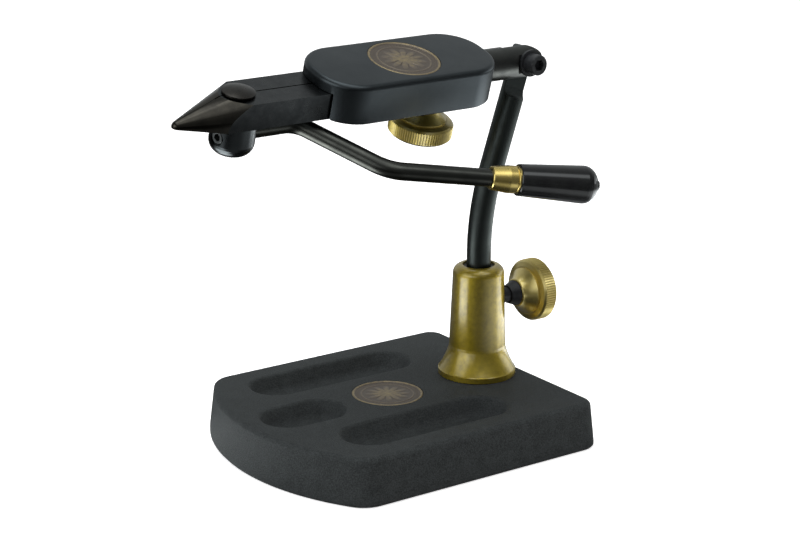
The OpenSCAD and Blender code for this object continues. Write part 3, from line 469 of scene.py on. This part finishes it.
# Pillar: turned from brass bar, with a flared foot and a rounded mouth, and left to dull.
# A bolt from under the base holds it. Faint tool rings run round it under the tarnish.
def metal(name, colour, stain, roughness, rings=0.0, axis="Z", cloud=120, spread=0.12, lacquer=0.0):
    """Bare or blackened metal: its colour, a cloudy stain, and fine rings left by the lathe."""
    material = bpy.data.materials.new(name)
    add = nodes_of(material)
    place = add("ShaderNodeTexCoord").outputs["Object"]
    patches = add("ShaderNodeTexNoise", {"Vector": place})
    patches.inputs["Scale"].default_value = cloud
    patches.inputs["Detail"].default_value = 7
    patches.inputs["Roughness"].default_value = 0.62
    tint = add("ShaderNodeMapRange", {0: patches.outputs[0]})
    tint.inputs["From Min"].default_value = 0.38
    tint.inputs["From Max"].default_value = 0.66
    mixed = add("ShaderNodeMix", {0: tint.outputs[0]}, data_type="RGBA", _6=(*colour, 1), _7=(*stain, 1))
    dull = add("ShaderNodeMapRange", {0: patches.outputs[0]})
    dull.inputs["From Min"].default_value = 0.3
    dull.inputs["From Max"].default_value = 0.7
    dull.inputs["To Min"].default_value = roughness - spread / 2
    dull.inputs["To Max"].default_value = roughness + spread / 2
    if rings:
        spun = add("ShaderNodeMapping", {0: place})
        spun.inputs["Scale"].default_value = {"X": (4000, 60, 60), "Z": (60, 60, 4000)}[axis]
        height = add("ShaderNodeTexNoise", {"Vector": spun.outputs[0]})
        height.inputs["Scale"].default_value = 1
        height.inputs["Detail"].default_value = 2
    else:
        height = add("ShaderNodeTexNoise", {"Vector": place})
        height.inputs["Scale"].default_value = 2600
        height.inputs["Detail"].default_value = 3
    bump = add("ShaderNodeBump", {"Height": height.outputs[0]})
    bump.inputs["Strength"].default_value = 0.5
    bump.inputs["Distance"].default_value = rings or 0.00002
    shader = add("ShaderNodeBsdfPrincipled", {
        "Base Color": mixed.outputs[2], "Roughness": dull.outputs[0], "Normal": bump.outputs[0]})
    shader.inputs["Metallic"].default_value = 1.0
    shader.inputs["Coat Weight"].default_value = lacquer
    shader.inputs["Coat Roughness"].default_value = 0.18
    shader.inputs["Coat IOR"].default_value = 1.85
    add("ShaderNodeOutputMaterial", {0: shader.outputs[0]})
    return material


aged_brass = metal(
    "aged_brass", (0.54, 0.39, 0.016), (0.42, 0.30, 0.008), 0.50,
    rings=0.00002, cloud=420, spread=0.14, lacquer=1.0)
repaint(aged_brass, "pillar")

# Pillar bolt: a black cap screw from below, its head sunk in the casting over the pad.
# The stem's sleeve is a dark nylon ring in the pillar's mouth, which the stem slides in.
black_oxide = coated("black_oxide", (0.011, 0.012, 0.013), (0.019, 0.020, 0.022), 1500, 0.00001, 0.34)
repaint(black_oxide, "pillar_bolt")
nylon = coated("black_nylon", (0.010, 0.010, 0.011), (0.016, 0.016, 0.018), 1600, 0.00002, 0.42)
repaint(nylon, "stem_sleeve")

# Stem: a length of round steel bar, bent once in a former and blackened.
# Its top is milled to half its thickness for the tilt joint, and drilled for the tilt screw.
pivot = Vector((18.8817 * mm, 0, 142.3 * mm))
stem_r, stem_low, stem_chamfer = 4.7625 * mm, 34.9 * mm, 0.6 * mm
bend_low, bend_r, lean_angle, past_pivot = 69.1 * mm, 100 * mm, math.radians(18.3), 12 * mm
lap_r, lap_face, lap_down, lap_round, tilt_bore_r = 6 * mm, -0.4 * mm, 14.5 * mm, 4 * mm, 2.45 * mm


def rod_ring(centre, along, across, r, sides=64):
    """One section of a round rod, square to the way that it runs."""
    third = along.cross(across)
    return [tuple(centre + across * x + third * y) for x, y in arc(0, 0, r, 0, 360, sides)[:-1]]


side, up = Vector((0, 1, 0)), Vector((0, 0, 1))
rings = [rod_ring(up * stem_low, up, side, stem_r - stem_chamfer),
         rod_ring(up * (stem_low + stem_chamfer), up, side, stem_r)]
for i in range(25):
    turn = lean_angle * i / 24
    rings.append(rod_ring(
        Vector((bend_r * (1 - math.cos(turn)), 0, bend_low + bend_r * math.sin(turn))),
        Vector((math.sin(turn), 0, math.cos(turn))), side, stem_r))
lean_way = Vector((math.sin(lean_angle), 0, math.cos(lean_angle)))
rings.append(rod_ring(pivot + lean_way * past_pivot, lean_way, side, stem_r))
stem = skinned("bent_stem", rings)
on_lean = Matrix.Translation(pivot) @ Matrix.Rotation(lean_angle, 4, "Y")
# One cut rounds its top over, one takes half its thickness for the lap, and one is the screw's bore.
cut_half, cut_high = 2 * stem_r, 4 * stem_r
round_top = arc(0, 0, lap_r, 0, 180, 48)
round_top += [(-cut_half, 0), (-cut_half, cut_high), (cut_half, cut_high), (cut_half, 0)]
arch = skinned("arch", [[(x, y, z) for x, z in round_top] for y in (-cut_half, cut_half)])
arch.data.transform(on_lean)
step = [(lap_face, cut_high), (-cut_high, cut_high), (-cut_high, -lap_down)]
step += arc(lap_face - lap_round, lap_round - lap_down, lap_round, -90, 0, 24)
lap_cut = skinned("lap", [[(x, y, z) for y, z in step] for x in (-cut_half, cut_half)])
lap_cut.data.transform(on_lean)
screw_hole = drum(0, 0, -cut_half, tilt_bore_r, 2 * cut_half)
screw_hole.data.transform(Matrix.Translation(pivot) @ Matrix.Rotation(math.radians(90), 4, "X"))
carved(stem, [lap_cut, arch, screw_hole])
gun_black = metal("gun_black_steel", (0.070, 0.079, 0.075), (0.052, 0.058, 0.056), 0.39, cloud=90)
finished(stem, gun_black, "stem", "stem", edge=0.15 * mm)

# Stem clamp: a screw through the pillar's side with a moulded collar, and a turned brass knob.
# The knob has a flared hub, a small step and a straight-knurled rim.
collar = coated(
    "black_collar", (0.008, 0.008, 0.009), (0.013, 0.013, 0.015), 1500, 0.00002, 0.40, specular=0.35)
repaint(collar, "clamp_screw")
clamp_brass = metal(
    "bright_brass_clamp", (0.88, 0.69, 0.21), (0.75, 0.58, 0.15), 0.36,
    rings=0.000016, lacquer=0.9, axis="X", cloud=200)
repaint(clamp_brass, "clamp_knob")

# Head shaft: turned steel bar, milled to a tongue that laps on the stem, and blackened.
# Its grooved journal turns inside the head.
shaft_black = metal(
    "shaft_black_steel", (0.115, 0.117, 0.110), (0.082, 0.084, 0.080), 0.32,
    rings=0.000006, axis="X", cloud=120)
repaint(shaft_black, "head_shaft")

# Tilt screw and washer: a socket cap screw of black oxide steel, with a plain washer under its head.
# It runs through both laps and pinches them together, and the head tilts when it is loose.
repaint(black_oxide, "tilt_screw", "tilt_washer")

# Head body: milled from aluminium bar with round corners, blasted and anodised black.
# It is slotted from below for the jaws, and bored from behind for the shaft.
head_turn = math.radians(15.8)
in_head = Matrix.Translation(pivot) @ Matrix.Rotation(head_turn, 4, "X")
body_back, body_front, body_half = -19.7 * mm, -97 * mm, 17.2 * mm
body_low, body_high, body_corner = -7.5 * mm, 8 * mm, 15 * mm
body_edge, body_chamfer = 2 * mm, 0.6 * mm
slot_end, slot_half, slot_roof = -72.5 * mm, 10.4 * mm, 3.1 * mm
bore_r, bore_end, lock_x, lock_bore_r = 4.55 * mm, -50.9 * mm, -43.5 * mm, 3.05 * mm
head_medal_x = -57.3 * mm


def block(name, low, high):
    """A square block between two corners, for cutting."""
    (x0, y0, z0), (x1, y1, z1) = low, high
    return skinned(name, [[(x0, y0, z), (x1, y0, z), (x1, y1, z), (x0, y1, z)] for z in (z0, z1)])


def body_ring(inset, z):
    """The outline of the head at one height, in from its sides by inset."""
    back, front = body_back - body_corner, body_front + body_corner
    flank, r = body_half - body_corner, body_corner - inset
    outline = arc(back, flank, r, 0, 90, 24) + arc(front, flank, r, 90, 180, 24)
    outline += arc(front, -flank, r, 180, 270, 24) + arc(back, -flank, r, 270, 360, 24)
    return [(x, y, z) for x, y in outline]


rings = [body_ring(body_chamfer, body_low), body_ring(0, body_low + body_chamfer)]
for i in range(9):
    turn = math.radians(90 * i / 8)
    rings.append(body_ring(body_edge * (1 - math.cos(turn)), body_high - body_edge * (1 - math.sin(turn))))
body = skinned("head_block", rings)
bore = drum(0, 0, 0, bore_r, body_back - bore_end + over)
bore.data.transform(Matrix.Translation((bore_end, 0, 0)) @ Matrix.Rotation(math.radians(90), 4, "Y"))
carved(body, [
    block("slot", (body_front - over, -slot_half, body_low - over), (slot_end, slot_half, slot_roof)),
    bore,
    drum(lock_x, 0, body_low - over, lock_bore_r, over - body_low),
    drum(head_medal_x, 0, body_high - medal_seat, medal_r + medal_gap, medal_seat + over)])
body.data.transform(in_head)
anodised = metal("black_anodising", (0.080, 0.090, 0.096), (0.069, 0.078, 0.084), 0.35, cloud=70, spread=0.04)
finished(body, anodised, "head", "head_body", edge=0.2 * mm)

# Head medallion: the same darkened brass disc as on the base, with the same plain rosette.
# It is pressed into a round seat milled in the top of the head.
head_seat = in_head @ Matrix.Translation((head_medal_x, 0, body_high - medal_seat))
struck_disc("head_badge", head_seat, "head", "head_medallion")

# Head lock: a black screw that goes up through the head into the groove of the shaft.
# Its knob is turned from brass, with a neck and a straight-knurled rim, and is fixed on the screw.
repaint(black_oxide, "lock_screw")
lock_brass = metal(
    "bright_brass_lock", (0.62, 0.47, 0.10), (0.50, 0.38, 0.07), 0.43,
    rings=0.000016, lacquer=0.9, axis="Z", cloud=200)
repaint(lock_brass, "lock_knob")

# Jaws: two bars of tool steel, hardened and blackened, and then ground to a blunt cone.
# The grinding leaves the nose browner and brighter than the bars.
jaw_steel = metal("jaw_black_oxide", (0.062, 0.065, 0.067), (0.048, 0.051, 0.053), 0.30, cloud=300)
ground_nose = metal(
    "ground_nose", (0.074, 0.067, 0.056), (0.050, 0.046, 0.040), 0.15,
    rings=0.00001, axis="X", cloud=220)
tip_x, cam_x, pin_x, tail_x = -153.9 * mm, -128.3 * mm, -89.9 * mm, -72.9 * mm
jaw_low, jaw_high, jaw_in, jaw_out = -7.3 * mm, 2.9 * mm, 0.1 * mm, 9.5 * mm
nose_z, nose_angle, tip_r = -6.9 * mm, math.radians(25), 2.2 * mm
cone_r, cone_long, near_axis = 24 * mm, 110 * mm, -85
pin_y, pin_r, spring_x, spring_z = 5 * mm, 2.05 * mm, pin_x + 11.5 * mm, -2.2 * mm
spring_seat_r, spring_seat_half = 3 * mm, 4.2 * mm
slot_x, slot_y, relief_x, relief_y = 5.1 * mm, 3.06 * mm, pin_x + 2 * mm, 1.2 * mm
seam_x, seam_y, seam_deep = tip_x + 2 * mm, 0.28 * mm, 1 * mm


def turned(name, profile, steps):
    """A lathe piece about Z from (radius, height) points that start and end on the axis."""
    bm = bmesh.new()
    edges = []
    verts = [bm.verts.new((r, 0, z)) for r, z in profile]
    for a, b in zip(verts, verts[1:]):
        edges.append(bm.edges.new((a, b)))
    bmesh.ops.spin(
        bm, geom=verts + edges, cent=(0, 0, 0), axis=(0, 0, 1),
        angle=2 * math.pi, steps=steps, use_merge=True)
    bmesh.ops.remove_doubles(bm, verts=bm.verts, dist=1e-7)
    bmesh.ops.recalc_face_normals(bm, faces=bm.faces)
    mesh = bpy.data.meshes.new(name)
    bm.to_mesh(mesh)
    bm.free()
    obj = bpy.data.objects.new(name, mesh)
    bpy.context.collection.objects.link(obj)
    return obj


# Each bar keeps what it shares with the cone, whose face is ground.
jaw_bottom, jaw_top = jaw_low - over, jaw_high + over
cone_full = cone_r / math.tan(nose_angle) + tip_r * (1 - 1 / math.sin(nose_angle))
blunt_tip = arc(0, 0, tip_r, near_axis, -math.degrees(nose_angle), 12)
profile = [(0, 0)] + [(x, tip_r + y) for x, y in blunt_tip]
profile += [(cone_r, cone_full), (cone_r, cone_long), (0, cone_long)]
for name, hand in (("jaw_left", 1), ("jaw_right", -1)):
    low_y, high_y = sorted((hand * jaw_in, hand * jaw_out))
    jaw = block(name + "_bar", (tip_x - over, low_y, jaw_low), (tail_x, high_y, jaw_high))
    jaw.data.materials.append(jaw_steel)
    jaw.data.materials.append(ground_nose)
    cone = turned("cone", profile, 128)
    cone.data.transform(Matrix.Translation((tip_x, 0, nose_z)) @ Matrix.Rotation(math.radians(90), 4, "Y"))
    cone.data.materials.append(ground_nose)
    carved(jaw, [cone], "INTERSECT")
    pin_bore = drum(pin_x, hand * pin_y, jaw_bottom, pin_r, jaw_top - jaw_bottom, 48)
    seat = drum(0, 0, -spring_seat_half, spring_seat_r, 2 * spring_seat_half, 48)
    seat.data.transform(
        Matrix.Translation((spring_x, 0, spring_z)) @ Matrix.Rotation(math.radians(90), 4, "X"))
    carved(jaw, [
        block("cam_slot", (cam_x - slot_x, -slot_y, jaw_bottom), (cam_x + slot_x, slot_y, jaw_top)),
        block("seam", (seam_x, -seam_y, jaw_high - seam_deep), (pin_x, seam_y, jaw_top)),
        block("relief", (relief_x, -relief_y, jaw_bottom), (tail_x + over, relief_y, jaw_top)),
        pin_bore,
        seat])
    jaw.data.transform(in_head)
    finished(jaw, None, name, name, edge=0.1 * mm)

# Hinge pins: two ground steel dowels, left bare.
# They are pressed into the head's roof from below, and each jaw swings on one of them.
bare_steel = metal("bare_steel", (0.52, 0.52, 0.54), (0.42, 0.42, 0.44), 0.28)
repaint(bare_steel, "jaw_pins")

# Jaw spring: music wire wound in five even curls, left bare.
# It sits in a round seat in each jaw's tail and spreads the tails, which closes the tips.
spring_r, wire_r, spring_half, curls, curl_steps = 2.4 * mm, 0.4 * mm, 3.7 * mm, 5, 32
rings = []
for i in range(curls * curl_steps + 1):
    turn = 2 * math.pi * i / curl_steps
    out = Vector((math.cos(turn), math.sin(turn), 0))
    centre = out * spring_r + up * spring_half * (2 * i / (curl_steps * curls) - 1)
    along = (up.cross(out) * spring_r + up * spring_half / (math.pi * curls)).normalized()
    rings.append(rod_ring(centre, along, out, wire_r, 14))
spring = skinned("spring_wire", rings)
spring_place = in_head @ Matrix.Translation((spring_x, 0, spring_z))
spring.data.transform(spring_place @ Matrix.Rotation(math.radians(90), 4, "X"))
finished(spring, bare_steel, "head", "jaw_spring")
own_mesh(spring)

# Cam shaft: turned and milled from one bar of steel, and blackened.
# Its domed head lies over the jaws. Its rounded block turns between them with the lever and spreads them.
dome_steel = metal("dome_black_oxide", (0.070, 0.064, 0.058), (0.048, 0.045, 0.042), 0.30, cloud=260)
repaint(dome_steel, "cam_shaft")

# Hub: turned from steel with a well-rounded lower edge, and blackened like the lever.
# It slides on the cam shaft's lower end, where a socket set screw in its side clamps it.
# The screw is steel, turned down at its mouth.
hub_black = metal("hub_black", (0.080, 0.087, 0.090), (0.061, 0.066, 0.069), 0.22, cloud=140)
repaint(hub_black, "cam_hub")
hub_z, set_screw_turn = -12.6 * mm, math.radians(14)
in_hub = in_head @ Matrix.Translation((cam_x, 0, hub_z))
set_screw_r, set_screw_in, set_screw_out = 2.98 * mm, 3.1 * mm, 7.85 * mm
mouth_r, mouth_deep, mouth_step = 2.38 * mm, 0.9 * mm, 0.1 * mm
hexagon_r, hexagon_deep = 1.5 * mm, 2.4 * mm
set_screw = turned("set_screw", [
    (0, set_screw_in),
    (set_screw_r, set_screw_in),
    (set_screw_r, set_screw_out - mouth_deep),
    (mouth_r, set_screw_out - mouth_deep + mouth_step),
    (mouth_r - mouth_step / 2, set_screw_out),
    (0, set_screw_out)], 48)
carved(set_screw, [drum(0, 0, set_screw_out - hexagon_deep, hexagon_r, hexagon_deep + over, 6)])
set_screw.data.transform(
    in_hub @ Matrix.Rotation(set_screw_turn, 4, "Z") @ Matrix.Rotation(math.radians(-90), 4, "Y"))
set_steel = metal("set_screw_steel", (0.20, 0.21, 0.21), (0.15, 0.155, 0.155), 0.34)
finished(set_screw, set_steel, "lever", "hub_screw", edge=0.08 * mm)

# Lever rod: a length of round steel bar, blackened after it is bent.
# It has two bends in one plane, and its end is fixed in a cross hole in the hub.
rod_r, first_r, second_r = 3.3 * mm, 9 * mm, 16 * mm
first_bend, second_bend = math.radians(60.4), math.radians(40.4)
rod_start, run_one, run_two, run_three = 3.6 * mm, 26.4 * mm, 39.5 * mm, 39.1 * mm
in_ferrule, in_grip, lever_rise = 10.6 * mm, 22 * mm, math.radians(8)
one_cut, two_cut = first_r * math.tan(first_bend / 2), second_r * math.tan(second_bend / 2)
stations = [(Vector((rod_start, 0, 0)), 0.0)]
for i in range(25):
    turn = first_bend * i / 24
    stations.append((Vector((
        run_one - one_cut + first_r * math.sin(turn), -first_r * (1 - math.cos(turn)), 0)), -turn))
corner = Vector((run_one + run_two * math.cos(first_bend), -run_two * math.sin(first_bend), 0))
entry = corner - Vector((math.cos(first_bend), -math.sin(first_bend), 0)) * two_cut
for i in range(21):
    turn = -first_bend + second_bend * i / 20
    stations.append((entry + Vector((
        math.sin(turn) + math.sin(first_bend), math.cos(first_bend) - math.cos(turn), 0)) * second_r, turn))
heading = second_bend - first_bend
handle_way = Vector((math.cos(heading), math.sin(heading), 0))
stations.append((corner + handle_way * (run_three + in_ferrule + in_grip), heading))
rings = [rod_ring(place, Vector((math.cos(way), math.sin(way), 0)), up, rod_r) for place, way in stations]
rod = skinned("lever_bar", rings)
rod.data.transform(in_hub @ Matrix.Rotation(lever_rise, 4, "X"))
rod_black = metal("rod_black", (0.088, 0.089, 0.080), (0.063, 0.064, 0.058), 0.32, cloud=110)
finished(rod, rod_black, "lever", "lever_rod")

# Ferrule and grip: a ferrule turned from brass, which tapers down to the rod.
# The grip behind it is glossy black plastic with a domed end and a small nub.
ferrule_brass = metal(
    "ferrule_brass", (0.94, 0.71, 0.21), (0.80, 0.59, 0.15), 0.27,
    rings=0.000012, lacquer=0.5, axis="X", cloud=220)
repaint(ferrule_brass, "lever_ferrule")
grip_black = coated(
    "dipped_grip", (0.0035, 0.0035, 0.004), (0.006, 0.0065, 0.0065), 160, 0.00003, 0.12, specular=0.75)
repaint(grip_black, "lever_grip")
